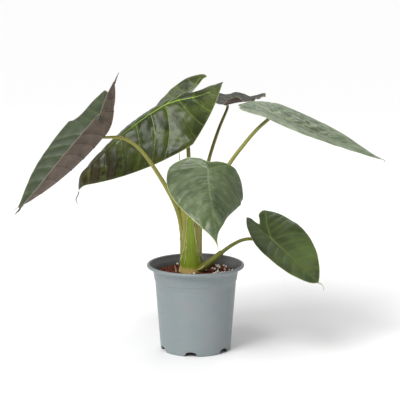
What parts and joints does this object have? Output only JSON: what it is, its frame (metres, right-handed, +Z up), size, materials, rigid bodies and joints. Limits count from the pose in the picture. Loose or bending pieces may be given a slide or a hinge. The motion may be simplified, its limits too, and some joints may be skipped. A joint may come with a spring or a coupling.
{
  "type": "potted alocasia",
  "caption": "Young alocasia with arrow-shaped leaves on long arching stalks, green above and purple-brown below, in a round plastic nursery pot.",
  "frame": {"origin": "centre of the flat pad under the pot's base, on the surface that the pot stands on", "axes": "+Z up, +X to the right along the plant's greatest spread, -Y towards the front"},
  "size_m": [0.5073, 0.4335, 0.3972],
  "materials": {
    "pot_plastic": "satin",
    "potting_mix": "matte",
    "corm": "matte",
    "young_leaf": "satin",
    "dry_sheath": "matte",
    "petiole": "satin",
    "leaf_glossy_green": "satin",
    "leaf_dusty_green": "satin"
  },
  "bodies": {
    "root": {"pot": "pot_plastic", "potting_mix": "potting_mix", "corm": "corm", "new_leaf": "young_leaf", "dry_sheath": "dry_sheath", "petiole_far_left": "petiole", "petiole_upper_left": "petiole", "petiole_back": "petiole", "petiole_right": "petiole", "petiole_front": "petiole", "petiole_low_right": "petiole", "leaf_far_left": "leaf_dusty_green", "leaf_upper_left": "leaf_glossy_green", "leaf_back": "leaf_glossy_green", "leaf_right": "leaf_dusty_green", "leaf_front": "leaf_dusty_green", "leaf_low_right": "leaf_glossy_green"}
  },
  "joints": []
}
